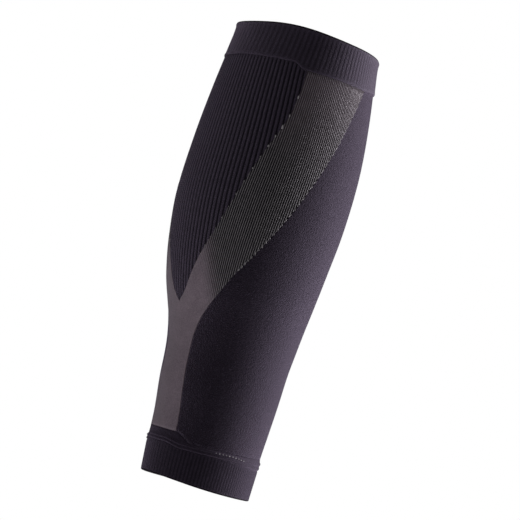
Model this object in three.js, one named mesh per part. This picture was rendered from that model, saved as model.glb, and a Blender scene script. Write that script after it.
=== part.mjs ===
// A calf compression sleeve: a knitted tube for the lower leg, from above the ankle to below the knee.
// It is knitted in five zones that meet edge to edge: a ribbed band at the knee, a panel over the calf
// muscle, a forked support that rises from the heel cord and passes both sides of that panel, a smooth
// panel over the shin, and a ribbed cuff at the ankle.
// Millimetres, +Z up the leg, the shin towards -Y and the calf towards +Y, the same on both sides of
// X = 0. An angle is taken about the leg's axis from the middle of the back, towards -X. The origin is
// on that axis, at the height where the calf is fullest.

import * as THREE from 'three';

const { clamp, degToRad, smoothstep } = THREE.MathUtils;

// Sizes of the stretched tube
const sleeveLength = 324;
const calfHalfWidth = 58.5;
const calfDepth = 65;
const shinDepth = 56;
const muscleRelief = 0.7;
const muscleStart = 0.18;

// Walls of the five knits
const bandWall = 2.2;
const calfWall = 1.5;
const supportWall = 1.7;
const shinWall = 1.2;
const cuffWall = 2;

// Edges: the rims lean and curve a little, and the seams step up over the back
const kneeTilt = 1.5;
const kneeCrest = 1.6;
const ankleTilt = 3.2;
const ankleSag = 1.1;
const ankleSideSag = 2;
const bandHeight = 27.5;
const bandStep = 4;
const bandFrontRise = 3;
const kneeFlare = 0.8;
const flareHeight = 9;
const cuffHeight = 28;
const stemLift = 6;
const gap = 0.3;

// The tuck round the cuff: a groove with two ridges above it
const grooveHeight = 22.8;
const grooveBackLift = 2.2;
const grooveFrontDrop = 3.2;
const grooveDepth = 0.4;
const ridgePitch = 2.3;
const ridgeHeight = 0.6;
const frontSpread = 0.45;

// The fine ridge along the knee band's lower edge
const seamRidgeWidth = 2.7;
const seamRidgeHeight = 0.4;
const seamRidgeAside = 0.4;

// Stretches of angle from the back, in degrees, over which an edge rises or falls
const calfSide = { from: 46, to: 56 };
const shinSide = { from: 105, to: 140 };
const stemSide = { from: 24, to: 42 };
const grooveBack = { from: 12, to: 34 };
const grooveFront = { from: 80, to: 130 };

// Where the fullest girth lies, as a share of the length
const fullestShare = 0.66;

// The inside of the tube, a row for each section: shares of the length, half-width and depths
const sections = [
  { up: 0.0, side: 0.59, back: 0.615, front: 0.695 },
  { up: 0.09, side: 0.622, back: 0.636, front: 0.721 },
  { up: 0.14, side: 0.643, back: 0.642, front: 0.745 },
  { up: 0.21, side: 0.672, back: 0.677, front: 0.778 },
  { up: 0.28, side: 0.698, back: 0.694, front: 0.802 },
  { up: 0.325, side: 0.735, back: 0.728, front: 0.827 },
  { up: 0.37, side: 0.781, back: 0.792, front: 0.849 },
  { up: 0.43, side: 0.865, back: 0.888, front: 0.874 },
  { up: 0.51, side: 0.935, back: 0.965, front: 0.928 },
  { up: 0.615, side: 1.0, back: 1.0, front: 1.0 },
  { up: 0.74, side: 1.009, back: 0.95, front: 1.036 },
  { up: 0.86, side: 0.959, back: 0.878, front: 0.995 },
  { up: 1.0, side: 0.874, back: 0.77, front: 0.88 },
];

// The forked support between cuff and band. A row gives a share of that height and the angle in
// degrees of an edge: on the calf panel, which starts at the fork, and on the shin panel.
const forkShare = 0.33;
const calfEdge = [
  { up: forkShare, angle: 0 },
  { up: 0.36, angle: 7.5 },
  { up: 0.43, angle: 16 },
  { up: 0.52, angle: 26.5 },
  { up: 0.6, angle: 33.2 },
  { up: 0.72, angle: 41.5 },
  { up: 0.86, angle: 53 },
  { up: 0.94, angle: 56.5 },
  { up: 1.0, angle: 57.5 },
];
const shinEdge = [
  { up: 0.0, angle: 23.5 },
  { up: 0.12, angle: 20.5 },
  { up: 0.2, angle: 18.8 },
  { up: 0.26, angle: 20.6 },
  { up: 0.33, angle: 30 },
  { up: 0.42, angle: 44 },
  { up: 0.52, angle: 58.5 },
  { up: 0.6, angle: 68.5 },
  { up: 0.74, angle: 82.5 },
  { up: 0.86, angle: 94.3 },
  { up: 0.95, angle: 104 },
  { up: 1.0, angle: 110 },
];

// Facets: rows up the panels, and columns across each
const stemRows = 8;
const forkRows = 18;
const branchColumns = 7;
const shinColumns = 32;
const shinCrowding = 0.45;
const tipShare = forkShare + 0.006;

// The round fold of a doubled edge, as shares of its wall: inwards from the rim, and out from the leg
const rimFold = [
  { inward: 0.5, out: 1 },
  { inward: 0.15, out: 0.86 },
  { inward: 0, out: 0.5 },
  { inward: 0.15, out: 0.14 },
  { inward: 0.5, out: 0 },
];

const darkYarn = 0x1f1b21;
const calfYarn = 0x1e1b21;
const shinYarn = 0x1c191f;
const greyYarn = 0x38343a;

// A smooth curve through one column of a table, read at a share of the height
function along(table, column, up) {
  const slope = (i) => {
    const low = Math.max(i - 1, 0);
    const high = Math.min(i + 1, table.length - 1);
    return (table[high][column] - table[low][column]) / (table[high].up - table[low].up);
  };
  const above = table.findIndex((row) => row.up > up);
  const k = above < 0 ? table.length - 2 : Math.max(above - 1, 0);
  const step = table[k + 1].up - table[k].up;
  const t = (up - table[k].up) / step;
  const ease = t * t * (3 - 2 * t);
  const bend = t * (1 - t) * ((1 - t) * slope(k) - t * slope(k + 1)) * step;
  return table[k][column] * (1 - ease) + table[k + 1][column] * ease + bend;
}

// The angle from the back's middle line, from 0 to half a turn on either side
function fromBack(angle) {
  return Math.abs(Math.atan2(Math.sin(angle), Math.cos(angle)));
}

// How much of an angle faces the back: 1 in the middle of the back and 0 over the shin
function towardsBack(angle) {
  return (1 + Math.cos(angle)) / 2;
}

// The knee rim leans, and has a low crest on either side of the middle of the back
function kneeRim(angle) {
  const crest = kneeCrest * Math.sin(2 * angle) ** 2 * towardsBack(angle);
  return sleeveLength + kneeTilt * Math.cos(angle) + crest;
}

// The ankle rim leans, and sags a little at the back and more on either side of it
function ankleRim(angle) {
  const sag = ankleSag + ankleSideSag * Math.sin(angle) ** 2;
  return ankleTilt * Math.cos(angle) - sag * towardsBack(angle);
}

// How far an angle is through a stretch: 0 on its side towards the back, 1 on its side towards the shin
function past(stretch, angle) {
  return smoothstep(fromBack(angle), degToRad(stretch.from), degToRad(stretch.to));
}

// The knee band's lower edge: higher over the calf panel, and again a little at the front
function bandSeam(angle) {
  const overCalf = 1 - past(calfSide, angle);
  return sleeveLength - bandHeight + bandStep * overCalf + bandFrontRise * past(shinSide, angle);
}

// The cuff's upper edge: it carries the foot of the support a little higher than the shin panel
function cuffSeam(angle) {
  return cuffHeight + stemLift * (1 - past(stemSide, angle));
}

// The groove under the cuff's two ridges
function grooveLine(angle) {
  const atBack = 1 - past(grooveBack, angle);
  return grooveHeight + grooveBackLift * atBack - grooveFrontDrop * past(grooveFront, angle);
}

// A point of the tube: its angle, its height over the ankle and how far it stands out from the leg
function tubePoint(angle, height, out) {
  const up = clamp(height / sleeveLength, 0, 1);
  const depth = Math.cos(angle) > 0
    ? calfDepth * along(sections, 'back', up)
    : shinDepth * along(sections, 'front', up);
  const side = calfHalfWidth * along(sections, 'side', up);
  const muscle = Math.sin(Math.PI * clamp((up - muscleStart) / (1 - muscleStart), 0, 1));
  const swell = out - muscleRelief * muscle * Math.cos(3 * angle);
  return new THREE.Vector3(
    -(side + swell) * Math.sin(angle),
    (depth + swell) * Math.cos(angle),
    height - fullestShare * sleeveLength,
  );
}

function meshOf(name, points, faces, colour) {
  const geometry = new THREE.BufferGeometry().setFromPoints(points);
  geometry.setIndex(faces.flat());
  geometry.computeVertexNormals();
  const material = new THREE.MeshStandardMaterial({ color: colour, roughness: 0.85, metalness: 0 });
  const mesh = new THREE.Mesh(geometry, material);
  mesh.name = name;
  return mesh;
}

// A quad as two triangles, its corners in turn as they are seen from outside
function quad(a, b, c, d) {
  return [a, b, c, a, c, d];
}

// A piece of cloth with one wall all over: places are angles and heights, and cells are quads of them.
// Each edge that only one cell has gets a strip from the outer face to the inner one.
function clothPiece(name, places, cells, wall, colour) {
  const outer = places.map((p) => tubePoint(p.angle, p.height, wall));
  const inner = places.map((p) => tubePoint(p.angle, p.height, 0));
  const count = places.length;
  const faces = [];
  const edges = new Map();
  for (const cell of cells) {
    faces.push(quad(...cell));
    faces.push(quad(...cell.map((i) => i + count).reverse()));
    cell.forEach((from, i) => {
      const to = cell[(i + 1) % 4];
      if (edges.has(`${to} ${from}`)) edges.delete(`${to} ${from}`);
      else edges.set(`${from} ${to}`, [from, to]);
    });
  }
  for (const [from, to] of edges.values()) faces.push(quad(to, from, from + count, to + count));
  return meshOf(name, [...outer, ...inner], faces, colour);
}

// A piece that goes all the way round: at each angle its wall's outline is a closed loop of
// heights and distances out from the leg
function ringPiece(name, angles, outline, colour) {
  const loops = angles.map((angle) => outline(angle));
  const points = loops.flatMap((loop, j) => loop.map((p) => tubePoint(angles[j], p.height, p.out)));
  const size = loops[0].length;
  const faces = [];
  for (let j = 0; j < angles.length; j += 1) {
    const next = (j + 1) % angles.length;
    for (let i = 0; i < size; i += 1) {
      const k = (i + 1) % size;
      faces.push(quad(j * size + i, next * size + i, next * size + k, j * size + k));
    }
  }
  return meshOf(name, points, faces, colour);
}

// The shares of height at which the panels have a row of points, the same for all of them
const rowShares = [
  ...Array.from({ length: stemRows + 1 }, (_, i) => (forkShare * i) / stemRows),
  ...Array.from({ length: forkRows + 1 }, (_, i) => tipShare + ((1 - tipShare) * i) / forkRows),
];
const tipRow = stemRows + 1;

// Half a gap as an angle, at a share of the panels' height
function halfGap(up) {
  return gap / 2 / (calfHalfWidth * along(sections, 'side', up));
}

function innerEdge(up) {
  return degToRad(along(calfEdge, 'angle', up));
}

function outerEdge(up) {
  return degToRad(along(shinEdge, 'angle', up));
}

// A place on the panels between the cuff and the band, half a gap clear of both
function panelPlace(angle, up) {
  const low = cuffSeam(angle) + gap / 2;
  const high = bandSeam(angle) - gap / 2;
  return { angle, height: low + (high - low) * up };
}

// Equal steps across a piece, from one angle to another
function across(from, to, columns) {
  return Array.from({ length: columns + 1 }, (_, j) => from + ((to - from) * j) / columns);
}

// Steps across the shin panel, closer together beside the support than over the shin
function acrossShin(from, to) {
  const crowd = (share) => share - (shinCrowding * Math.sin(2 * Math.PI * share)) / (2 * Math.PI);
  return across(0, 1, shinColumns).map((share) => from + (to - from) * crowd(share));
}

// Cells between rows of equal length that lie one after another in a list of places
function gridCells(first, columns, rows) {
  const cells = [];
  for (let i = 0; i < rows; i += 1) {
    for (let j = 0; j < columns; j += 1) {
      const a = first + i * (columns + 1) + j;
      cells.push([a, a + 1, a + columns + 2, a + columns + 1]);
    }
  }
  return cells;
}

function calfPanel() {
  const rows = rowShares.slice(tipRow);
  const places = rows.flatMap((up) => {
    const edge = innerEdge(up) - halfGap(up);
    return across(-edge, edge, 2 * branchColumns).map((angle) => panelPlace(angle, up));
  });
  return clothPiece('calf_panel', places, gridCells(0, 2 * branchColumns, forkRows), calfWall, calfYarn);
}

function shinPanel() {
  const places = rowShares.flatMap((up) => {
    const edge = outerEdge(up) + halfGap(up);
    return acrossShin(edge, 2 * Math.PI - edge).map((angle) => panelPlace(angle, up));
  });
  const rows = rowShares.length - 1;
  return clothPiece('shin_panel', places, gridCells(0, shinColumns, rows), shinWall, shinYarn);
}

// The stem and both branches are one piece. Up to the fork a row runs straight across. Above it a
// row is two halves, and their first row starts from the stem's last one.
function supportYoke() {
  const stem = rowShares.slice(0, tipRow).flatMap((up) => {
    const edge = outerEdge(up) - halfGap(up);
    return across(-edge, edge, 2 * branchColumns).map((angle) => panelPlace(angle, up));
  });
  const places = [...stem];
  const cells = gridCells(0, 2 * branchColumns, stemRows);
  const forkStart = stemRows * (2 * branchColumns + 1);
  for (const side of [-1, 1]) {
    const first = places.length;
    for (const up of rowShares.slice(tipRow)) {
      const inner = side * (innerEdge(up) + halfGap(up));
      const outer = side * (outerEdge(up) - halfGap(up));
      const row = across(Math.min(inner, outer), Math.max(inner, outer), branchColumns);
      places.push(...row.map((angle) => panelPlace(angle, up)));
    }
    cells.push(...gridCells(first, branchColumns, forkRows));
    const below = forkStart + (side < 0 ? 0 : branchColumns);
    for (let j = 0; j < branchColumns; j += 1) {
      cells.push([below + j, below + j + 1, first + j + 1, first + j]);
    }
  }
  return clothPiece('support_yoke', places, cells, supportWall, greyYarn);
}

// The knee band: a doubled edge that flares a little at its round rim, with a fine ridge along its seam
function kneeBand() {
  const calfTop = across(-innerEdge(1), innerEdge(1), 2 * branchColumns);
  const branchTop = across(innerEdge(1), outerEdge(1), branchColumns);
  const shinTop = acrossShin(outerEdge(1), 2 * Math.PI - outerEdge(1));
  const farBranchTop = branchTop.map((angle) => 2 * Math.PI - angle).reverse();
  const angles = [calfTop, branchTop.slice(1), shinTop.slice(1), farBranchTop.slice(1, -1)].flat();
  const outline = (angle) => {
    const low = bandSeam(angle) + gap / 2;
    const high = kneeRim(angle);
    const ridge = seamRidgeHeight * (1 - (1 - seamRidgeAside) * past(calfSide, angle));
    const rim = rimFold.map((fold) => ({
      height: high - fold.inward * bandWall,
      out: kneeFlare + fold.out * bandWall,
    }));
    return [
      { height: low, out: 0.8 * bandWall },
      { height: low + seamRidgeWidth / 2, out: bandWall + ridge },
      { height: low + seamRidgeWidth, out: 0.93 * bandWall },
      { height: (low + high) / 2, out: bandWall },
      { height: high - flareHeight, out: bandWall },
      ...rim,
      { height: high - flareHeight, out: 0 },
      { height: low, out: 0 },
    ];
  };
  return ringPiece('knee_band', angles, outline, darkYarn);
}

// The ankle cuff: a doubled edge with a round rim, and above its ribs the tuck with two ridges
function ankleCuff() {
  const stemFoot = across(-outerEdge(0), outerEdge(0), 2 * branchColumns);
  const shinFoot = acrossShin(outerEdge(0), 2 * Math.PI - outerEdge(0));
  const angles = [stemFoot, shinFoot.slice(1, -1)].flat();
  const outline = (angle) => {
    const low = ankleRim(angle);
    const high = cuffSeam(angle) - gap / 2;
    const groove = grooveLine(angle);
    const half = (ridgePitch / 2) * (1 + frontSpread * past(grooveFront, angle));
    const rim = rimFold.map((fold) => ({
      height: low + fold.inward * cuffWall,
      out: fold.out * cuffWall,
    })).reverse();
    return [
      ...rim,
      { height: (low + groove) / 2, out: cuffWall },
      { height: groove - half, out: cuffWall },
      { height: groove, out: cuffWall - grooveDepth },
      { height: groove + half, out: cuffWall + ridgeHeight },
      { height: groove + 2 * half, out: cuffWall },
      { height: groove + 3 * half, out: cuffWall + ridgeHeight },
      { height: groove + 3.8 * half, out: cuffWall - grooveDepth },
      { height: high, out: shinWall },
      { height: high, out: 0 },
      { height: (low + high) / 2, out: 0 },
    ];
  };
  return ringPiece('ankle_cuff', angles, outline, darkYarn);
}

const sleeve = new THREE.Group();
sleeve.add(kneeBand(), calfPanel(), supportYoke(), shinPanel(), ankleCuff());

export default sleeve;
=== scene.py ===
# %% [markdown]
# # A calf compression sleeve
#
# The real thing is one seamless tube, knitted in the round on a small machine. Nothing is sewn: the
# yarn and the stitch change from zone to zone, and the tube is shown filled out, as it is in use. This
# lesson makes the five zones round a fixed frame, a plain solid model that has already been measured.
# The frame says where each zone lies. Blender adds what the eye knows a knit by: ribs,
# stitches, stepped edges between the zones, yarn loops, and the way soft yarn takes light.

import math

import bpy
import numpy as np
from mathutils import Matrix, Vector


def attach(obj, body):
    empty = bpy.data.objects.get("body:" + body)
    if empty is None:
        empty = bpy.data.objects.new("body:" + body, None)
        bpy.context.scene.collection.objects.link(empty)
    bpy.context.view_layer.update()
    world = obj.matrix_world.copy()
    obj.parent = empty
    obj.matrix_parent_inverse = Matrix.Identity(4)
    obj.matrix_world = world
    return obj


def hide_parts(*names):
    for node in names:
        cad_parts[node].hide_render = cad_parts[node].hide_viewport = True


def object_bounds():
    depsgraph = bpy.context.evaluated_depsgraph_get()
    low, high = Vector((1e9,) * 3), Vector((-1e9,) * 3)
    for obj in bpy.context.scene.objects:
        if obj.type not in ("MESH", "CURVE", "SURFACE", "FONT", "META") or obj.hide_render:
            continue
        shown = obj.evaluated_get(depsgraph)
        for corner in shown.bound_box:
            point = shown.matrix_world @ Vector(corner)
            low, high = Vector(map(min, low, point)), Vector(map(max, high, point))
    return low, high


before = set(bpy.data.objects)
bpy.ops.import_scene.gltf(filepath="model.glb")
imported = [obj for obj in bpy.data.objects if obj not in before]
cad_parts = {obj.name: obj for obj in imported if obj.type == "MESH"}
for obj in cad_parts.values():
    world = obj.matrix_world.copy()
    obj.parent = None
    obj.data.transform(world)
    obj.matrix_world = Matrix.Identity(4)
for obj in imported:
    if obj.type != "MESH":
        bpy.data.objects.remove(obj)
CAD_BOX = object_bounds()
print("frame box in metres:", *(tuple(round(c, 4) for c in corner) for corner in CAD_BOX))

# %% [markdown]
# ## Sizes of the tube
#
# Lengths are in millimetres here and turn to metres when a mesh is made. Heights start at the ankle
# rim. The height of the origin comes from the frame's box, and the length from that, because the calf is
# fullest at 0.66 of it. The widths repeat the ones that the solids were made with, because every rib
# has to lie on the same form.

# %% Sizes of the tube
MM = 0.001
ANKLE_TILT = 3.2
FULLEST_SHARE = 0.66
ORIGIN_HEIGHT = -CAD_BOX[0].z / MM - ANKLE_TILT
SLEEVE_LENGTH = ORIGIN_HEIGHT / FULLEST_SHARE
CALF_HALF_WIDTH = 58.5
CALF_DEPTH = 65.0
SHIN_DEPTH = 56.0
MUSCLE_RELIEF = 0.7
MUSCLE_START = 0.18
BAND_HEIGHT = 27.5
CUFF_HEIGHT = 28.0
PANEL_HEIGHT = SLEEVE_LENGTH - BAND_HEIGHT - CUFF_HEIGHT
print(f"sleeve {SLEEVE_LENGTH:.1f} mm long, origin {ORIGIN_HEIGHT:.1f} mm above the ankle rim")

# %% [markdown]
# ## The form of the tube
#
# A section of the tube is two half ellipses, a deep one over the calf and a flatter one over the
# shin. A short table gives their sizes at a dozen heights, as shares of the full ones, and a smooth
# curve runs through each column. One could sculpt the form, but then the ribs, which follow lines of
# equal angle from ankle to knee, would have nothing exact to follow.

# %% The form of the tube
SECTIONS = np.array([
    # height, side, back, front
    (0.00, 0.590, 0.615, 0.695),
    (0.09, 0.622, 0.636, 0.721),
    (0.14, 0.643, 0.642, 0.745),
    (0.21, 0.672, 0.677, 0.778),
    (0.28, 0.698, 0.694, 0.802),
    (0.325, 0.735, 0.728, 0.827),
    (0.37, 0.781, 0.792, 0.849),
    (0.43, 0.865, 0.888, 0.874),
    (0.51, 0.935, 0.965, 0.928),
    (0.615, 1.000, 1.000, 1.000),
    (0.74, 1.009, 0.950, 1.036),
    (0.86, 0.959, 0.878, 0.995),
    (1.00, 0.874, 0.770, 0.880),
])


def along(table, column, up):
    """A smooth curve through a column of a table, at shares of the height. Between two rows it is a
    cubic whose slope at each row is that of the line through the rows on either side."""
    rows, values = table[:, 0], table[:, column]
    before = np.maximum(np.arange(len(rows)) - 1, 0)
    after = np.minimum(np.arange(len(rows)) + 1, len(rows) - 1)
    slope = (values[after] - values[before]) / (rows[after] - rows[before])
    k = np.clip(np.searchsorted(rows, up, side="right") - 1, 0, len(rows) - 2)
    step = rows[k + 1] - rows[k]
    t = (up - rows[k]) / step
    ease = t * t * (3 - 2 * t)
    bend = t * (1 - t) * ((1 - t) * slope[k] - t * slope[k + 1]) * step
    return values[k] * (1 - ease) + values[k + 1] * ease + bend


def tube_points(angle, height, out):
    """Points of the tube in metres. The angle runs from the middle of the back towards -X. A section
    is half an ellipse on either side, grown by out, with a slight swelling three times round it for
    the two heads of the calf muscle and the shin bone."""
    up = np.clip(height / SLEEVE_LENGTH, 0, 1)
    back, front = CALF_DEPTH * along(SECTIONS, 2, up), SHIN_DEPTH * along(SECTIONS, 3, up)
    depth = np.where(np.cos(angle) > 0, back, front)
    side = CALF_HALF_WIDTH * along(SECTIONS, 1, up)
    muscle = np.sin(np.pi * np.clip((up - MUSCLE_START) / (1 - MUSCLE_START), 0, 1))
    swell = out - MUSCLE_RELIEF * muscle * np.cos(3 * angle)
    x = -(side + swell) * np.sin(angle)
    y = (depth + swell) * np.cos(angle)
    return np.stack([x, y, height - ORIGIN_HEIGHT + 0 * angle], -1) * MM


full_turn = np.linspace(0, 2 * np.pi, 361)
girth_line = tube_points(full_turn, np.full(full_turn.shape, ORIGIN_HEIGHT), 0)
girth = np.linalg.norm(np.diff(girth_line, axis=0), axis=1).sum()
print(f"girth inside, at the height of the origin: {girth:.3f} m")

# %% [markdown]
# ## Where the zones meet
#
# The band's lower edge steps up over the calf, and the cuff's upper edge rises under the stem of the
# support. Between the two, a height is given as a share, 0 at the cuff and 1 at the band, and two
# more tables give the angle of the support's edges: on the calf panel from the fork up, and on the
# shin panel. Tables of a few chosen rows are easy to compare with the real edges and to move.

# %% Where the zones meet
TINY = 1e-9
FORK = 0.33
CALF_EDGE = np.array([
    # share of the panels' height, degrees from the back
    (FORK, 0.0), (0.36, 7.5), (0.43, 16.0), (0.52, 26.5), (0.60, 33.2),
    (0.72, 41.5), (0.86, 53.0), (0.94, 56.5), (1.00, 57.5),
])
SHIN_EDGE = np.array([
    (0.00, 23.5), (0.12, 20.5), (0.20, 18.8), (0.26, 20.6), (0.33, 30.0), (0.42, 44.0),
    (0.52, 58.5), (0.60, 68.5), (0.74, 82.5), (0.86, 94.3), (0.95, 104.0), (1.00, 110.0),
])
BAND_STEP = 4.0
BAND_STEP_ENDS = (46, 56)
BAND_FRONT_RISE = 3.0
BAND_RISE_ENDS = (105, 140)
STEM_LIFT = 6.0
STEM_LIFT_ENDS = (24, 42)


def smoothstep(value, low, high):
    """0 below low and 1 above high, with an S-shaped cubic between them."""
    t = np.clip((value - low) / (high - low), 0, 1)
    return t * t * (3 - 2 * t)


def from_back(angle):
    """The angle from the middle of the back in degrees, 0 to 180 on either side."""
    return np.degrees(np.abs(np.arctan2(np.sin(angle), np.cos(angle))))


def towards_back(angle):
    """How much of an angle faces the back: 1 in the middle of the back and 0 over the shin."""
    return (1 + np.cos(angle)) / 2


def over_calf(angle):
    """1 over the calf panel and 0 elsewhere, with a soft step between."""
    return 1 - smoothstep(from_back(angle), *BAND_STEP_ENDS)


def band_seam(angle):
    """Height of the band's lower edge: a step up over the calf and a slow rise at the front."""
    front = smoothstep(from_back(angle), *BAND_RISE_ENDS)
    return SLEEVE_LENGTH - BAND_HEIGHT + BAND_STEP * over_calf(angle) + BAND_FRONT_RISE * front


def cuff_seam(angle):
    """Height of the cuff's upper edge, lifted under the stem."""
    return CUFF_HEIGHT + STEM_LIFT * (1 - smoothstep(from_back(angle), *STEM_LIFT_ENDS))


def panel_height(angle, share):
    """Height at a share of the way from the cuff's seam to the band's."""
    low, high = cuff_seam(angle), band_seam(angle)
    return low + (high - low) * share


def calf_edge(share):
    """The angle of the support's edge on the calf panel, 0 at the fork and below."""
    return np.where(share > FORK + TINY, np.radians(along(CALF_EDGE, 1, np.maximum(share, FORK))), 0)


def shin_edge(share):
    """The angle of the support's edge on the shin panel."""
    return np.radians(along(SHIN_EDGE, 1, share))


for share in (0.2, 0.5, 0.9):
    print(f"support at {share} of the height: {math.degrees(calf_edge(share)):.0f} to "
          f"{math.degrees(shin_edge(share)):.0f} degrees from the back")

# %% [markdown]
# ## Zones of knit between cuff and band
#
# A knit is a lattice: wales are its columns of stitches and courses its rows. Each zone is knitted
# with its own stitch, so its wales lie at their own pitch and lean a little as they climb. A zone is a
# grid whose columns are its wales. Where a wale has passed the zone's edge its points are gathered on
# that edge, so the ribs run on at full strength up to the seam, as they do in the real knit. A grid cut
# with a boolean would give the same outline, but it would be slower and leave ragged faces.

# %% A grid of wales between two edges
FORK_ROW = 40
ROWS = 121
SHARES = np.concatenate([np.linspace(0, FORK, FORK_ROW, endpoint=False),
                         np.linspace(FORK, 1, ROWS + 1 - FORK_ROW)])


def wale_angle(zone, wale, share):
    """Angle of a wale: its number times the pitch, plus the lean times the rise above the fork."""
    return wale * zone["pitch"] + zone["lean"] * np.maximum(share - FORK, 0)


def wale_number(zone, angle, share):
    """The wale at an angle, which is the function above turned round."""
    return (angle - zone["lean"] * np.maximum(share - FORK, 0)) / zone["pitch"]


def wave(wale, period):
    """A rib's profile across the wales: 0 in the groove, which lies at whole periods, and 1 on top."""
    return 0.5 - 0.5 * np.cos(2 * np.pi * wale / period)


def gather(angle, low, high):
    """Moves every angle past an edge onto it. Gives the angles, and for each point the number of the
    column that stands for it, which is the same for all points on one edge."""
    first = (angle <= low + TINY).sum(1, keepdims=True) - 1
    last = angle.shape[1] - (angle >= high - TINY).sum(1, keepdims=True)
    column = np.clip(np.arange(angle.shape[1])[None], first, last)
    return np.clip(angle, low, high), column


def two_triangles(index):
    """Both triangles of each cell of a grid of point numbers, without those that have no area."""
    a, b, c, d = index[:-1, :-1], index[:-1, 1:], index[1:, 1:], index[1:, :-1]
    faces = np.stack([a, b, c, a, c, d], -1).reshape(-1, 3)
    return faces[(faces != np.roll(faces, 1, axis=1)).all(1)]


print(f"{ROWS} rows between cuff and band, {PANEL_HEIGHT / ROWS:.1f} mm apart")

# %% [markdown]
# ### From a grid to a closed piece of knit
#
# The grid gives the outer face. The same grid without its ribs, turned over, is the inner face, and a
# strip along the border joins the two. Solidify does nearly this, but here the inner face has to keep
# to the plain form of the tube, whatever the ribs do outside. Two things are kept for the material: a
# UV pair, which counts wales across and the height up, and the strength of the ribs at each point.
# Where the ribs are strong, the faces at the bottom of the grooves get a second material, because
# there the black elastane lies bare.

# %% A closed piece of knit
# Each zone stops this many millimetres short of its edges. HALF_GAP is the same as an angle.
EDGE_GAP = 0.05
HALF_GAP = EDGE_GAP / CALF_HALF_WIDTH
# A face lies in a groove where the rib's profile is under the one and its strength is over the other
GROOVE_BELOW = 0.35
RIBBED_FROM = 0.55
UV_WALES = 256.0


def edge_strip(faces, count):
    """Triangles from the border of the outer face to the same points of the inner face, which are
    numbered on by count. A border edge is one that no other triangle runs along the other way."""
    edges = np.concatenate([faces[:, [0, 1]], faces[:, [1, 2]], faces[:, [2, 0]]])
    there, back = edges[:, 0] * count + edges[:, 1], edges[:, 1] * count + edges[:, 0]
    start, end = edges[~np.isin(there, back)].T
    return np.concatenate([np.stack([end, start, start + count], -1),
                           np.stack([end, start + count, end + count], -1)])


def knit_mesh(name, points, faces, corner_uv, rib, smooth=None):
    """A mesh from points, triangles, a UV pair for each corner and a rib strength for each point. Points
    that no triangle uses are left out. Triangles numbered from smooth on are shaded flat."""
    used, corners = np.unique(faces, return_inverse=True)
    smooth = smooth or len(faces)
    mesh = bpy.data.meshes.new(name)
    mesh.from_pydata(points[used].tolist(), [], corners.reshape(-1, 3).tolist())
    mesh.uv_layers.new(name="knit").data.foreach_set("uv", corner_uv.astype(np.float32).ravel())
    strength = mesh.attributes.new("rib", "FLOAT", "POINT")
    strength.data.foreach_set("value", rib[used].astype(np.float32))
    mesh.polygons.foreach_set("use_smooth", np.arange(len(faces)) < smooth)
    piece = bpy.data.objects.new(name, mesh)
    bpy.context.collection.objects.link(piece)
    print(f"{name}: {len(used)} points, {len(faces)} triangles")
    return piece


def knit_zone(name, angle, share, index, wale, out, rib, period=0):
    """A zone from its grids: angles, shares of the panels' height, point numbers, wale numbers, how far
    the outer face stands out, and the strength of the ribs. Where the mesh has ribs, each a period of
    wales wide, the triangles at the bottom of the grooves take the second material."""
    low, high = cuff_seam(angle) + EDGE_GAP, band_seam(angle) - EDGE_GAP
    height = low + (high - low) * share
    outer, inner = tube_points(angle, height, out), tube_points(angle, height, 0 * out)
    front = np.concatenate([two_triangles(part) for part in index])
    faces = np.concatenate([front, front[:, ::-1] + angle.size, edge_strip(front, angle.size)])
    uv = np.stack([0.5 + wale / UV_WALES, height / SLEEVE_LENGTH], -1).reshape(-1, 2)
    points = np.concatenate([outer.reshape(-1, 3), inner.reshape(-1, 3)])
    corner_uv = np.tile(uv, (2, 1))[faces]
    piece = knit_mesh(name, points, faces, corner_uv, np.tile(rib.ravel(), 2), 2 * len(front))
    if period:
        ribbed = rib.ravel()[front].mean(1) > RIBBED_FROM
        bottom = wave(wale.ravel()[front].mean(1), period) < GROOVE_BELOW
        slot = np.zeros(len(faces), np.int32)
        slot[:len(front)] = ribbed & bottom
        piece.data.polygons.foreach_set("material_index", slot)
        print(f"{name}: {slot.sum()} triangles at the bottom of grooves")
    return piece


# %% [markdown]
# ## The calf panel
#
# Over the muscle the sleeve is knitted in wide ribs, one raised for every two wales, 3 mm apart. They
# lean a little to one side as they climb, as the ribs of a stretched tube do. Each rib is a wave in the
# mesh itself, ten points wide, so it shades and casts its own small shadow from every side. A bump in
# the material would be quicker, but it would be gone in the outline and in the shape of the mesh.

# %% The calf panel
CALF_WALL = 1.5
CALF_RIB = 0.38
CALF_ZONE = {"pitch": 2 * np.pi / 237, "lean": math.radians(-13)}
CALF_WALES = 50
CALF_COLUMNS = 5
WALES_PER_RIB = 2

wale = np.arange(-CALF_WALES * CALF_COLUMNS, CALF_WALES * CALF_COLUMNS + 1) / CALF_COLUMNS
wale, share = np.meshgrid(wale, SHARES[FORK_ROW:])
edge = np.maximum(calf_edge(share[:, :1]) - HALF_GAP, 0)
angle, column = gather(wale_angle(CALF_ZONE, wale, share), -edge, edge)
wale = wale_number(CALF_ZONE, angle, share)
index = np.arange(len(angle))[:, None] * angle.shape[1] + column
out = CALF_WALL + CALF_RIB * (wave(wale, WALES_PER_RIB) - 0.5)
calf_panel = knit_zone("calf_panel_knit", angle, share, [index], wale, out, np.ones_like(angle),
                       WALES_PER_RIB)

# %% [markdown]
# ## The forked support
#
# The lighter zone is a stem over the heel cord that forks round the calf panel. Its stem is smooth and
# dense. Up the two arms it turns into fine ribs, one to a wale, with narrow dark grooves between them.
# The rib's strength is a number at each point, low in the stem and near 1 in the arms. It fades in along
# a line that starts at the outer edge above the fork, and falls again towards the knee, where the knit
# is looser. The two halves mirror each other, and they share the middle column of the stem, so the
# piece stays one closed body.

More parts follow.
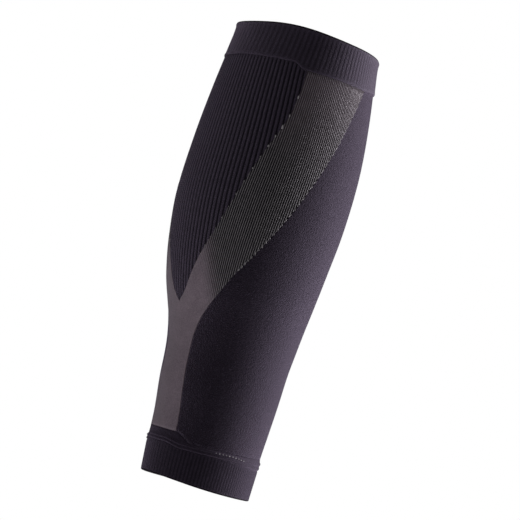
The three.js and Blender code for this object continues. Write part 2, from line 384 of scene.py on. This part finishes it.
# %% The forked support
SUPPORT_WALL = 1.7
SUPPORT_RIB = 0.45
SUPPORT_ZONE = {"pitch": 2 * np.pi / 259, "lean": math.radians(16)}
SUPPORT_WALES = 73
SUPPORT_COLUMNS = 5
STEM_RIB = 0.12
RIBS_START = (0.36, 36.0)
RIBS_EVERYWHERE = (0.51, 22.0)
FADE_IN = (-12, 10)
KNEE_FADE = 0.43
FADE_SHARES = (0.7, 1.0)


def support_rib(angle, share):
    """Strength of the ribs: a soft step in angle across a line that leans from RIBS_START, a share and
    degrees from the back, to RIBS_EVERYWHERE, times a slow fall over the last shares of the height."""
    lean = (RIBS_EVERYWHERE[1] - RIBS_START[1]) / (RIBS_EVERYWHERE[0] - RIBS_START[0])
    line = RIBS_START[1] + lean * (share - RIBS_START[0])
    arms = smoothstep(np.degrees(np.abs(angle)) - line, *FADE_IN)
    fall = KNEE_FADE * smoothstep(share, *FADE_SHARES)
    return STEM_RIB + (1 - STEM_RIB) * arms * (1 - fall)


middle = SUPPORT_WALES * SUPPORT_COLUMNS
wale, share = np.meshgrid(np.arange(middle + 1) / SUPPORT_COLUMNS, SHARES)
inner_edge = calf_edge(share[:, :1])
inner_edge = np.where(inner_edge > 0, inner_edge + HALF_GAP, 0)
outer_edge = shin_edge(share[:, :1]) - HALF_GAP
angle, column = gather(wale_angle(SUPPORT_ZONE, wale, share), inner_edge, outer_edge)
wale = wale_number(SUPPORT_ZONE, angle, share)
angle, wale = (np.concatenate([-part[:, :0:-1], part], 1) for part in (angle, wale))
share = np.broadcast_to(SHARES[:, None], angle.shape)
row_start = np.arange(ROWS + 1)[:, None] * angle.shape[1]
right_half = row_start + middle + column
left_half = (row_start + middle - column)[:, ::-1]
rib = support_rib(angle, share)
out = SUPPORT_WALL + rib * SUPPORT_RIB * (wave(wale, 1) - 0.5)
support_yoke = knit_zone("support_yoke_knit", angle, share, [right_half, left_half], wale, out, rib, 1)

# %% [markdown]
# ## The shin panel
#
# The front of the sleeve is a smooth, close knit. At this size its single stitches are too small for
# the mesh, so its columns are simply spread from one edge to the other, and the stitches are left to
# the material.

# %% The shin panel
SHIN_WALL = 1.2
SHIN_COLUMNS = 240
WALES_ROUND = 248
across, share = np.meshgrid(np.arange(SHIN_COLUMNS + 1) / SHIN_COLUMNS, SHARES)
edge = shin_edge(share) + HALF_GAP
angle = edge + (2 * np.pi - 2 * edge) * across
index = np.arange(angle.size).reshape(angle.shape)
wale = (angle - np.pi) / (2 * np.pi) * WALES_ROUND
out = np.full(angle.shape, SHIN_WALL)
shin_panel = knit_zone("shin_panel_knit", angle, share, [index], wale, out, np.ones_like(angle))

# %% [markdown]
# ## The knee band and the ankle cuff
#
# Both ends are doubled and closed in a round fold. Such a hoop is a profile carried round the tube: the
# closed outline of the wall, whose heights and distances depend on the angle. Its ribs lie wider apart
# over the back than over the shin, where the knit is stretched less.

# %% A hoop of knit
HOOP_STEPS = 3
HOOP_GAP = 0.15
RIB_COLUMNS = 8
TWIN_RIB = 0.35
RIB_LEVEL = 0.6
# The round fold of a rim: shares of the wall inwards from the rim, and outwards from the inner face
RIM_FOLD = [(0.5, 1.0), (0.15, 0.86), (0.0, 0.5), (0.15, 0.14), (0.5, 0.0)]


def rib_angles(ribs, share_at_back):
    """Angles of the columns of a hoop with that many ribs. The ribs' density over the angle is
    share_at_back of the mean in the middle of the back and as much more than the mean at the front. The
    sum of the density gives a rib's number at each angle, and the angles are read off backwards."""
    turn = np.linspace(-np.pi, np.pi, 1441)
    number = ribs * (turn - (1 - share_at_back) * np.sin(turn)) / (2 * np.pi)
    rib = (np.arange(ribs * RIB_COLUMNS) / RIB_COLUMNS) - ribs / 2
    return np.interp(rib, number, turn), rib


def knit_hoop(name, profile, ribs, share_at_back, rib_depth, rim_row, lean):
    """A hoop from a profile: rows of height, distance out and rib strength over the angles. Each stretch
    between two rows is divided in equal steps, and the outline closes on itself, as the hoop does. The
    ribs are a wave of that depth and a lower one twice as fine, less their usual level, and they lean
    by that many ribs over the sleeve's height. The faces of the fold, which starts at rim_row of the
    profile, get the second material."""
    angle, rib_number = rib_angles(ribs, share_at_back)
    parts = [np.stack([np.broadcast_to(v, angle.shape) for v in part]) for part in profile(angle)]
    count = len(parts[0])
    spot = np.arange(count * HOOP_STEPS) / HOOP_STEPS
    k, t = np.floor(spot).astype(int), (spot % 1)[:, None]
    height, out, strength = (part[k] * (1 - t) + part[(k + 1) % count] * t for part in parts)
    rib_number = rib_number + lean * height / SLEEVE_LENGTH
    relief = wave(rib_number, 1) + TWIN_RIB * wave(2 * rib_number, 1) - RIB_LEVEL
    out = out + strength * rib_depth * relief
    index = np.arange(height.size).reshape(height.shape)
    index = np.concatenate([index, index[:1]])
    index = np.concatenate([index, index[:, :1]], 1)
    points = tube_points(np.broadcast_to(angle, height.shape), height, out).reshape(-1, 3)
    faces = two_triangles(index)
    uv = np.stack([0.5 + rib_number / UV_WALES, height / SLEEVE_LENGTH], -1).reshape(-1, 2)
    corner_uv = uv[faces]
    # Triangles across the line where the ribs' numbers start again count on for one more turn there
    across_start = np.ptp(corner_uv[:, :, 0], axis=1) > 0.2
    lift = (corner_uv[:, :, 0] < 0.5) & across_start[:, None]
    corner_uv[..., 0] += lift * ribs / UV_WALES
    piece = knit_mesh(name, points, faces, corner_uv, strength.ravel())
    # The faces of the fold take the second material, which is painted darker as shade
    in_fold = np.repeat((k >= rim_row) & (k < rim_row + len(RIM_FOLD) - 1), 2 * len(angle))
    piece.data.polygons.foreach_set("material_index", in_fold.astype(np.int32))
    return piece


# %% [markdown]
# ### The band under the knee
#
# Its fine ribs show best where the light rakes them. Its lower edge has a low ridge, and its rim flares
# outwards a little, as a doubled elastic edge does.

# %% The band under the knee
BAND_WALL = 2.2
KNEE_TILT = 1.5
KNEE_CREST = 1.6
KNEE_FLARE = 0.8
FLARE_HEIGHT = 9.0
SEAM_RIDGE = 0.35
SEAM_RIDGE_ASIDE = 0.4
SEAM_RIDGE_WIDTH = 2.7
BAND_SEAM = [
    # share of the ridge's width up, of the wall out, of the ridge's height out, strength of the ribs
    (0, 0.78, 0, 0), (0.25, 1, 0.6, 0.3), (0.5, 1, 1, 0.4), (0.8, 1, 0.2, 0.7), (1.1, 0.97, 0, 0.9),
]
# A point on the flare: share of its height down from the rim, share of its reach, strength of the ribs
FLARE_DOWN, FLARE_OUT, FLARE_RIB = 0.4, 0.35, 0.8
RIM_RIB = 0.3


def band_profile(angle):
    """Up the outside from the seam ridge, over the flared rim and down the inside."""
    low = band_seam(angle) + HOOP_GAP
    crest = KNEE_CREST * np.sin(2 * angle) ** 2 * towards_back(angle)
    high = SLEEVE_LENGTH + KNEE_TILT * np.cos(angle) + crest
    ridge = SEAM_RIDGE * (SEAM_RIDGE_ASIDE + (1 - SEAM_RIDGE_ASIDE) * over_calf(angle))
    flare = high - FLARE_DOWN * FLARE_HEIGHT
    rows = [(low + up * SEAM_RIDGE_WIDTH, out * BAND_WALL + bump * ridge, rib)
            for up, out, bump, rib in BAND_SEAM]
    rows += [((low + high) / 2, BAND_WALL, 1), (high - FLARE_HEIGHT, BAND_WALL, 1)]
    rows += [(flare, BAND_WALL + FLARE_OUT * KNEE_FLARE, FLARE_RIB)]
    rows += [(high - up * BAND_WALL, KNEE_FLARE + out * BAND_WALL, RIM_RIB * out) for up, out in RIM_FOLD]
    rows += [(flare, FLARE_OUT * KNEE_FLARE, 0), (high - FLARE_HEIGHT, 0, 0), (low, 0, 0)]
    return zip(*rows)


knee_band = knit_hoop("knee_band_knit", band_profile, ribs=112, share_at_back=0.77, rib_depth=0.13,
                      rim_row=8, lean=-9.0)

# %% [markdown]
# ### The cuff at the ankle
#
# Above its ribs the cuff has a tuck: a dark groove with two ridges over it, which arch up under the
# stem of the support and spread a little towards the shin.

# %% The cuff at the ankle
CUFF_WALL = 2.0
ANKLE_SAG = 1.1
ANKLE_SIDE_SAG = 2.0
GROOVE_HEIGHT = 22.8
GROOVE_BACK_LIFT = 2.2
GROOVE_BACK_ENDS = (12, 34)
GROOVE_FRONT_DROP = 3.2
GROOVE_FRONT_ENDS = (80, 130)
GROOVE_DEPTH = 0.4
RIDGE_PITCH = 2.3
RIDGE_HEIGHT = 0.6
FRONT_SPREAD = 0.45
TUCK = [
    # half pitches up from the groove, share of a ridge's height out, of the groove's depth in, ribs
    (-1.2, 0, 0, 1), (-0.5, 0, 0, 0.4), (0, 0, 1, 0), (0.5, 0.5, 0, 0), (1, 1, 0, 0), (1.5, 0.6, 0, 0),
    (2, 0, 0, 0), (2.5, 0.6, 0, 0), (3, 1, 0, 0), (3.5, 0.3, 0, 0), (3.9, 0, 1, 0),
]


def groove_line(angle):
    """Height of the groove under the two ridges: higher at the back and lower at the front."""
    back = 1 - smoothstep(from_back(angle), *GROOVE_BACK_ENDS)
    front = smoothstep(from_back(angle), *GROOVE_FRONT_ENDS)
    return GROOVE_HEIGHT + GROOVE_BACK_LIFT * back - GROOVE_FRONT_DROP * front


def cuff_profile(angle):
    """Up the outside from the rim, over the groove and the two ridges, and down the inside."""
    sag = (ANKLE_SAG + ANKLE_SIDE_SAG * np.sin(angle) ** 2) * towards_back(angle)
    low = ANKLE_TILT * np.cos(angle) - sag
    high = cuff_seam(angle) - HOOP_GAP
    groove = groove_line(angle)
    half = RIDGE_PITCH / 2 * (1 + FRONT_SPREAD * smoothstep(from_back(angle), *GROOVE_FRONT_ENDS))
    rows = [(low + up * CUFF_WALL, out * CUFF_WALL, RIM_RIB * out) for up, out in RIM_FOLD[::-1]]
    rows += [(low + 1.5 * CUFF_WALL, CUFF_WALL, 1), ((low + groove) / 2, CUFF_WALL, 1)]
    rows += [(groove + up * half, CUFF_WALL + ridge * RIDGE_HEIGHT - dip * GROOVE_DEPTH, rib)
             for up, ridge, dip, rib in TUCK]
    rows += [(high, SHIN_WALL, 0), (high, 0, 0), ((low + high) / 2, 0, 0)]
    return zip(*rows)


ankle_cuff = knit_hoop("ankle_cuff_knit", cuff_profile, ribs=122, share_at_back=0.72, rib_depth=0.11,
                       rim_row=0, lean=-2.0)

# %% [markdown]
# ## Light stitches at the edges
#
# Where the grey yarn of the support starts and stops on a wale, the machine leaves a small loop. Along
# the shin panel there is one to each wale, and along the calf panel one to every second wale, larger
# towards the knee. A few more lie on the tuck of the cuff. A loop is a slim bead of 92 triangles, and
# all of them are one mesh made from arrays, because a hundred objects would be slow to handle.

# %% The shape of a loop
BEAD_RINGS = 6
BEAD_SIDES = 8
BEAD_HALF_THICKNESS = 0.28


def loops_along(edge, zone, every, first, last):
    """Angles and shares of the places where an edge crosses every so many wales, between two shares."""
    share = np.linspace(first, last, 1200)
    crossing = wale_number(zone, edge(share), share)
    number = np.arange(np.ceil(crossing[0] / every), crossing[-1] / every) * every
    found = np.interp(number, crossing, share)
    return edge(found), found


def bead_points(angle, height, length, width, out):
    """Slim ellipsoids along the wales: rings of points whose radius is the sine of the way along. Sizes
    are in millimetres, an array for each."""
    angle, height, length, width, out = (v[:, None, None] for v in (angle, height, length, width, out))
    way, round_it = np.meshgrid(np.linspace(0, np.pi, BEAD_RINGS + 2)[1:-1],
                                np.arange(BEAD_SIDES) * 2 * np.pi / BEAD_SIDES, indexing="ij")
    radius = CALF_HALF_WIDTH * along(SECTIONS, 1, np.clip(height / SLEEVE_LENGTH, 0, 1))
    turn = angle + width / 2 * np.sin(way) * np.cos(round_it) / radius
    rise = height - length / 2 * np.cos(way)
    return tube_points(turn, rise, out + BEAD_HALF_THICKNESS * np.sin(way) * np.sin(round_it))


# The triangles of one bead: the cells between its rings, and a fan of triangles over each end
ring = np.arange(BEAD_RINGS * BEAD_SIDES).reshape(BEAD_RINGS, BEAD_SIDES)
ring = np.concatenate([ring, ring[:, :1]], 1)
fan = np.arange(1, BEAD_SIDES - 1)
low_end = np.stack([0 * fan, fan + 1, fan], -1)
high_end = np.stack([0 * fan, fan, fan + 1], -1) + (BEAD_RINGS - 1) * BEAD_SIDES
BEAD = np.concatenate([two_triangles(ring), low_end, high_end])
print(len(BEAD), "triangles in a bead")

# %% Light stitches at the edges
# Sizes in millimetres of the loops on the shin's edge, the calf's edge and the tuck
LOOP_LENGTHS = (1.6, 0.8, 0.7)
LOOP_WIDTHS = (0.4, 0.4, 0.7)
LOOP_RISES = (SUPPORT_WALL + 0.05, SUPPORT_WALL + 0.05, CUFF_WALL + RIDGE_HEIGHT - 0.1)
# How much longer and wider those on the calf's edge are towards the knee
KNEE_LENGTH, KNEE_WIDTH = 1.6, 0.5
KNEE_GROWTH_SHARES = (0.65, 0.85)
# Each loop's length and width vary from the first number to the sum of the two
LENGTH_SPREAD = (0.6, 0.9)
WIDTH_SPREAD = (0.7, 0.5)

draw = np.random.default_rng(7)
shin_angle, shin_share = loops_along(shin_edge, SUPPORT_ZONE, 1, 0.45, 0.985)
calf_angle, calf_share = loops_along(calf_edge, CALF_ZONE, WALES_PER_RIB, 0.45, 0.95)
tuck_angle = np.radians(np.arange(68, 101, 3.5))
tuck_height = groove_line(tuck_angle) + 1.5 * RIDGE_PITCH
bead_angle = np.concatenate([shin_angle, calf_angle, tuck_angle])
bead_height = np.concatenate([panel_height(shin_angle, shin_share), panel_height(calf_angle, calf_share),
                              tuck_height])
counts = [len(shin_angle), len(calf_angle), len(tuck_angle)]
growth = smoothstep(calf_share, *KNEE_GROWTH_SHARES)
growth = np.concatenate([np.zeros(counts[0]), growth, np.zeros(counts[2])])
luck = draw.random(sum(counts))
length = np.repeat(LOOP_LENGTHS, counts) + KNEE_LENGTH * growth
length = length * (LENGTH_SPREAD[0] + LENGTH_SPREAD[1] * luck)
width = np.repeat(LOOP_WIDTHS, counts) + KNEE_WIDTH * growth
width = width * (WIDTH_SPREAD[0] + WIDTH_SPREAD[1] * luck)
out = np.repeat(LOOP_RISES, counts)
beads = np.concatenate([bead_points(side * bead_angle, bead_height, length, width, out) for side in (1, -1)])
first_point = np.arange(len(beads))[:, None, None] * BEAD_RINGS * BEAD_SIDES
faces = (BEAD[None] + first_point).reshape(-1, 3)
points = beads.reshape(-1, 3)
edge_loops = knit_mesh("edge_loops", points, faces, np.full((len(faces), 3, 2), 0.5), np.ones(len(points)))
print(counts, "loops on the shin's edge, the calf's edge and the tuck, on each half")

# %% [markdown]
# ## Yarn
#
# The sleeve is knitted from fine textured nylon round an elastic core. The dark yarn is nearly black
# seen straight on. What the eye reads is the bright fringe of its fine loose fibres where the surface
# turns away, which Blender calls sheen, so most zones have a strong sheen over a nearly black base. All
# the finishes share the lattice of the meshes: a UV map counts wales across and the height up, so the
# stitches and ribs of a material fall exactly on those of the mesh. Three small helpers keep the node
# trees short.

# %% Helpers for the materials


def linear(code):
    """An sRGB hex colour as linear red, green, blue and alpha."""
    parts = [int(code[i:i + 2], 16) / 255 for i in (0, 2, 4)]
    return [c / 12.92 if c <= 0.04045 else ((c + 0.055) / 1.055) ** 2.4 for c in parts] + [1.0]


def add(tree, kind, inputs=None, **settings):
    """Adds a node. Settings are its properties. Inputs are values, or sockets to link from, by the
    name or number of the input."""
    made = tree.nodes.new(kind)
    for key, value in settings.items():
        setattr(made, key, value)
    for key, value in (inputs or {}).items():
        if isinstance(value, bpy.types.NodeSocket):
            tree.links.new(value, made.inputs[key])
        else:
            made.inputs[key].default_value = value
    return made


def sums(tree, operation, *values):
    """A sum or other operation on numbers or sockets, as its output socket."""
    return add(tree, "ShaderNodeMath", dict(enumerate(values)), operation=operation).outputs[0]


print("black yarn in linear light:", *(round(c, 4) for c in linear("241d29")[:3]))

# %% [markdown]
# ### One knit material
#
# From the UV map the material works out the groove between two ribs and the stitch itself, a V whose
# two sides slope up to the edges of a wale. The dark base yarn shows in the grooves and the face yarn
# on top of the ribs. A slow noise makes the tone uneven, as dyed and washed yarn is, and a fine one
# stands for its loose fibres. Nine separate node trees would give the same, but one function with a few
# numbers is easier to keep alike.

# %% One knit material
# Height of a course in millimetres, about that of the real ones
COURSE = 0.9
# How steeply the two sides of a stitch rise, in courses for a whole wale
STITCH_SLOPE = 1.2
# Patches of uneven dye are some 6 mm wide. Bundles of fibres are 0.8 mm wide, much coarser than single
# fibres, because those are too fine to show.
UNEVEN_PER_METRE = 160.0
FIBRES_PER_METRE = 1300.0
# The tone is a share of each noise plus a shift, times a share of the stitch plus what lies between
UNEVEN_TONE, FIBRE_TONE, TONE_SHIFT = 0.6, 1.5, -0.05
STITCH_TONE, BETWEEN_TONE = 0.3, 0.8
# Roughness rises in the grooves and varies with the dye
GROOVE_ROUGHER, UNEVEN_ROUGHER = 0.4, 0.2
NYLON_IOR = 1.53


def knit_material(name, face, base, sheen, tint, plain=None, period=1, narrow=1.0, stitch=0.0001,
                  mottle=0.0007, dots=0.0, gloss=0.1, roughness=0.8, course=COURSE):
    """Face and base are hex colours of the yarn on the ribs and in the grooves, and plain is the colour
    where there are no ribs. Sheen and tint are the strength and colour of the fringe. Period is the
    rib's width in wales, and a higher narrow makes the face yarn's share of it smaller. Stitch and
    mottle are the heights of the stitches and of the uneven yarn in metres. Dots is how much darker a
    rib is between two courses. Gloss is the specular level, roughness the mean on top of the ribs, and
    course the height of a course in millimetres."""
    material = bpy.data.materials.new(name)
    material.use_nodes = True
    tree = material.node_tree
    tree.nodes.clear()
    lattice = add(tree, "ShaderNodeUVMap", uv_map="knit").outputs[0]
    split = add(tree, "ShaderNodeSeparateXYZ", {0: lattice})
    wale = sums(tree, "MULTIPLY_ADD", split.outputs[0], UV_WALES, -UV_WALES / 2)
    strength = add(tree, "ShaderNodeAttribute", attribute_name="rib").outputs["Fac"]
    turn = sums(tree, "COSINE", sums(tree, "MULTIPLY", wale, 2 * math.pi / period))
    rounded = sums(tree, "MULTIPLY_ADD", turn, -0.5, 0.5)
    ridge = sums(tree, "POWER", rounded, narrow)
    aside = sums(tree, "ABSOLUTE", sums(tree, "SUBTRACT", sums(tree, "FRACT", wale), 0.5))
    rise = sums(tree, "MULTIPLY", aside, STITCH_SLOPE)
    row = sums(tree, "MULTIPLY_ADD", split.outputs[1], SLEEVE_LENGTH / course, rise)
    loop = sums(tree, "ABSOLUTE", sums(tree, "SINE", sums(tree, "MULTIPLY", row, math.pi)))
    place = add(tree, "ShaderNodeTexCoord").outputs["Object"]
    dye = {"Vector": place, "Scale": UNEVEN_PER_METRE, "Detail": 4.0}
    uneven = add(tree, "ShaderNodeTexNoise", dye).outputs[0]
    fibres = {"Vector": place, "Scale": FIBRES_PER_METRE, "Detail": 3.0}
    fuzz = add(tree, "ShaderNodeTexNoise", fibres).outputs[0]
    yarns = {0: ridge, 6: linear(base), 7: linear(face)}
    ribbed = add(tree, "ShaderNodeMix", yarns, data_type="RGBA").outputs[2]
    mixed = {0: strength, 6: linear(plain or face), 7: ribbed}
    yarn = add(tree, "ShaderNodeMix", mixed, data_type="RGBA").outputs[2]
    tone = sums(tree, "MULTIPLY_ADD", fuzz, FIBRE_TONE, TONE_SHIFT)
    tone = sums(tree, "MULTIPLY_ADD", uneven, UNEVEN_TONE, tone)
    spots = sums(tree, "MULTIPLY_ADD", loop, STITCH_TONE + dots, BETWEEN_TONE - dots)
    tone = sums(tree, "MULTIPLY", tone, spots)
    colour = add(tree, "ShaderNodeVectorMath", {0: yarn, 1: tone}, operation="MULTIPLY").outputs[0]
    bump = add(tree, "ShaderNodeBump", {"Height": fuzz, "Distance": mottle, "Strength": 1.0}).outputs[0]
    relief = {"Height": loop, "Distance": stitch, "Strength": 0.7, "Normal": bump}
    bump = add(tree, "ShaderNodeBump", relief).outputs[0]
    dull = sums(tree, "MULTIPLY", sums(tree, "SUBTRACT", 1.0, rounded), strength)
    rough = sums(tree, "MULTIPLY_ADD", uneven, UNEVEN_ROUGHER, roughness - UNEVEN_ROUGHER / 2)
    rough = sums(tree, "MULTIPLY_ADD", dull, GROOVE_ROUGHER, rough)
    surface = {"Base Color": colour, "Roughness": rough, "Normal": bump}
    shader = add(tree, "ShaderNodeBsdfPrincipled", surface)
    shader.inputs["IOR"].default_value = NYLON_IOR
    shader.inputs["Specular IOR Level"].default_value = gloss
    shader.inputs["Specular Tint"].default_value = linear(tint)
    shader.inputs["Sheen Weight"].default_value = sheen
    shader.inputs["Sheen Roughness"].default_value = 0.5
    shader.inputs["Sheen Tint"].default_value = linear(tint)
    add(tree, "ShaderNodeOutputMaterial", {"Surface": shader.outputs[0]})
    print(f"{name}: {len(tree.nodes)} nodes")
    return material


# %% [markdown]
# ### Nine finishes
#
# The yarn is the same nylon nearly everywhere. What changes from zone to zone is how much of it stands
# up in ribs, and how much of the black elastane shows between them. The black yarn is tinted violet at
# its fringe and the grey one is nearly neutral.

# %% Nine finishes
VIOLET = "f0dcff"
# Black-violet yarn in raised ribs: only the tops of the ribs catch the light
BAND_KNIT = knit_material("ribbed nylon elastane knit", "423a49", "262029", 0.84, VIOLET,
                          gloss=0.3, roughness=0.55)
CUFF_KNIT = knit_material("cuff nylon elastane knit", "3a3240", "231e28", 0.62, VIOLET)
# The same yarn in wide ribs, darker, because more of the black elastane lies open. Its courses are
# drawn 1.5 mm high, coarser than the real ones, so that the dots on the ribs show.
CALF_KNIT = knit_material("wide rib nylon knit", "352d3e", "120e17", 0.65, VIOLET,
                          period=WALES_PER_RIB, dots=0.4, stitch=0.0006, gloss=0.9, roughness=0.34,
                          course=1.7 * COURSE)
# A thicker grey yarn over the black one, smooth in the stem and in bright narrow ribs in the arms
SUPPORT_KNIT = knit_material("grey support knit", "a39ea2", "020202", 0.65, "f3e9f8",
                             plain="9c8895", narrow=3.0, mottle=0.0003, gloss=1.0, roughness=0.33)
# At the bottom of the ribs the elastane lies bare, and it is matt and black
SUPPORT_GROOVE = knit_material("black elastane between support ribs", "302c30", "020202", 0.0, "f4e2fb",
                               plain="9c8895", mottle=0.0003, gloss=0.2)
CALF_GROOVE = knit_material("black elastane between calf ribs", "131018", "131018", 0.55, VIOLET,
                            period=WALES_PER_RIB)
# A close smooth knit with a soft even fringe
SHIN_KNIT = knit_material("smooth nylon knit", "241d29", "241d29", 0.93, VIOLET, mottle=0.0013)
# The folds of the rims are painted darker than the rest of the knit, as painted shade along the rims, with
# hardly any fringe
FOLD_PAINTED_SHADE = knit_material("folded knit painted dark as shade", "1a161c", "1a161c", 0.1, VIOLET)
# Light yarn that surfaces where the support's thread turns back
LOOP_YARN = knit_material("bright edge yarn", "e6e0e4", "e6e0e4", 0.5, "ffffff", gloss=0.5)

# %% [markdown]
# ## Dressing the frame
#
# Each knitted piece stands for the plain solid of its zone, which is hidden, and rides on the one
# body of the frame. The knit is cloth that is held stretched. Its flat size in the table is that of the
# same zone of the sleeve laid flat and relaxed, a fifth narrower than when it is stretched.

# %% Dressing the frame
# piece, material, node, slot, relaxed width and length in metres, share of that rectangle it fills
DRESS = [
    (knee_band, BAND_KNIT, "knee_band", "rib_knit", 0.290, 0.027, 1.0),
    (calf_panel, CALF_KNIT, "calf_panel", "calf_knit", 0.092, 0.175, 0.65),
    (support_yoke, SUPPORT_KNIT, "support_yoke", "support_knit", 0.165, 0.262, 0.50),
    (shin_panel, SHIN_KNIT, "shin_panel", "shin_knit", 0.230, 0.268, 0.80),
    (ankle_cuff, CUFF_KNIT, "ankle_cuff", "rib_knit", 0.215, 0.028, 1.0),
]
for piece, material, node_name, slot_name, width, length, filled in DRESS:
    piece.data.materials.append(material)
    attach(piece, "root")
    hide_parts(node_name)
# The second material of each piece: painted shade on the folds of the hoops, and the bare black elastane in
# the grooves of the ribs
for hoop in (knee_band, ankle_cuff):
    hoop.data.materials.append(FOLD_PAINTED_SHADE)
calf_panel.data.materials.append(CALF_GROOVE)
support_yoke.data.materials.append(SUPPORT_GROOVE)
edge_loops.data.materials.append(LOOP_YARN)
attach(edge_loops, "root")
for piece in (knee_band, calf_panel, support_yoke, shin_panel, ankle_cuff, edge_loops):
    print(piece.name, [material.name for material in piece.data.materials])

# %% [markdown]
# ## Floor and background
#
# The sleeve is shown on plain white. The floor is a wide round of matt paper that lies far below, so
# that the object's shadow doesn't reach into the picture, and it glows a little to stay pale there. The
# camera sees a white world, and only a weak fill of it lights the knit, because a bright one would wash
# out the ribs.

# %% Floor and background
FLOOR_DROP = 1.6
FLOOR_RADIUS = 2.4
FLOOR_SIDES = 96
PAPER_GLOW = 0.4
WORLD_FILL = 0.08

turn = np.linspace(0, 2 * np.pi, FLOOR_SIDES + 1)[:-1]
floor_points = np.stack([FLOOR_RADIUS * np.cos(turn), FLOOR_RADIUS * np.sin(turn), 0 * turn], -1)
floor_points[:, 2] = CAD_BOX[0].z - FLOOR_DROP
floor_mesh = bpy.data.meshes.new("floor")
floor_mesh.from_pydata(floor_points.tolist(), [], [list(range(FLOOR_SIDES))])
floor = bpy.data.objects.new("floor", floor_mesh)
bpy.context.collection.objects.link(floor)
paper = bpy.data.materials.new("matt white paper")
paper.use_nodes = True
paper_shader = paper.node_tree.nodes["Principled BSDF"]
paper_shader.inputs["Base Color"].default_value = linear("f0f0f0")
paper_shader.inputs["Roughness"].default_value = 0.9
paper_shader.inputs["Emission Color"].default_value = linear("ffffff")
paper_shader.inputs["Emission Strength"].default_value = PAPER_GLOW
floor.data.materials.append(paper)

world = bpy.data.worlds.new("white studio")
world.use_nodes = True
studio = world.node_tree
studio.nodes.clear()
seen = add(studio, "ShaderNodeBackground", {"Color": linear("ffffff"), "Strength": 1.0})
fill = add(studio, "ShaderNodeBackground", {"Color": linear("ffffff"), "Strength": WORLD_FILL})
path = add(studio, "ShaderNodeLightPath").outputs["Is Camera Ray"]
both = add(studio, "ShaderNodeMixShader", {0: path, 1: fill.outputs[0], 2: seen.outputs[0]})
add(studio, "ShaderNodeOutputWorld", {"Surface": both.outputs[0]})
bpy.context.scene.world = world
bpy.context.scene.view_settings.view_transform = "Standard"
print(f"floor at a height of {floor_points[0, 2]:.2f} m")

# %% [markdown]
# ## Light
#
# A strong softbox stands to the right and a little behind, another further round as a rim light, and a
# weak one on the left. The front is left dark, which is how black knit is photographed: the edges glow,
# and the ribs stand out where the light rakes them.

# %% Lights
VIEW_AZIMUTH = math.radians(233.0)
BOX_SIZE = 0.7
BOX_DISTANCE = 1.3


def softbox(name, turn, power):
    """A square softbox level with the origin, which it looks at. Its turn is in degrees from the
    camera's side of the object, positive to the right in the picture."""
    lamp = bpy.data.lights.new(name, "AREA")
    lamp.shape = "SQUARE"
    lamp.size = BOX_SIZE
    lamp.energy = power
    bearing = VIEW_AZIMUTH + math.radians(turn)
    spot = Vector((math.sin(bearing) * BOX_DISTANCE, -math.cos(bearing) * BOX_DISTANCE, 0))
    box = bpy.data.objects.new(name, lamp)
    box.location = spot
    box.rotation_euler = (-spot).to_track_quat("-Z", "Y").to_euler()
    bpy.context.collection.objects.link(box)
    print(f"{name}: {power} W, {turn} degrees from the camera")


softbox("right_softbox", 104, 12.5)
softbox("rim_softbox", 122, 4.2)
softbox("left_softbox", -80, 1.1)

# %% [markdown]
# ## Camera
#
# The picture shows the sleeve from behind and one side, from low down, and turned in the frame. So the
# camera stands a quarter of the way up the sleeve, looks at a point in the middle of its height, and is
# rolled about its own line of sight. The sleeve could be tilted instead, but it has to stay upright in
# the frame, where it was measured.

# %% Camera
CAMERA_DISTANCE = 1.4
CAMERA_HEIGHT = 72.3
LENS = 136.2
SENSOR_WIDTH = 36.0
ROLL = math.radians(14.325)
LOOK_RIGHT = 4.95
LOOK_HEIGHT = 165.5

back = Vector((math.sin(VIEW_AZIMUTH), -math.cos(VIEW_AZIMUTH), 0))
sideways = Vector((math.cos(VIEW_AZIMUTH), math.sin(VIEW_AZIMUTH), 0))
eye = back * CAMERA_DISTANCE + Vector((0, 0, (CAMERA_HEIGHT - ORIGIN_HEIGHT) * MM))
target = sideways * LOOK_RIGHT * MM + Vector((0, 0, (LOOK_HEIGHT - ORIGIN_HEIGHT) * MM))
forward = (target - eye).normalized()
right = forward.cross(Vector((0, 0, 1))).normalized()
over = right.cross(forward)
picture_right = math.cos(ROLL) * right + math.sin(ROLL) * over
picture_up = -math.sin(ROLL) * right + math.cos(ROLL) * over
camera_data = bpy.data.cameras.new("camera")
camera_data.lens = LENS
camera_data.sensor_width = SENSOR_WIDTH
camera = bpy.data.objects.new("camera", camera_data)
turned = Matrix((picture_right, picture_up, -forward)).transposed().to_4x4()
camera.matrix_world = Matrix.Translation(eye) @ turned
bpy.context.collection.objects.link(camera)
bpy.context.scene.camera = camera
print("camera at", tuple(round(c, 3) for c in eye), "m")
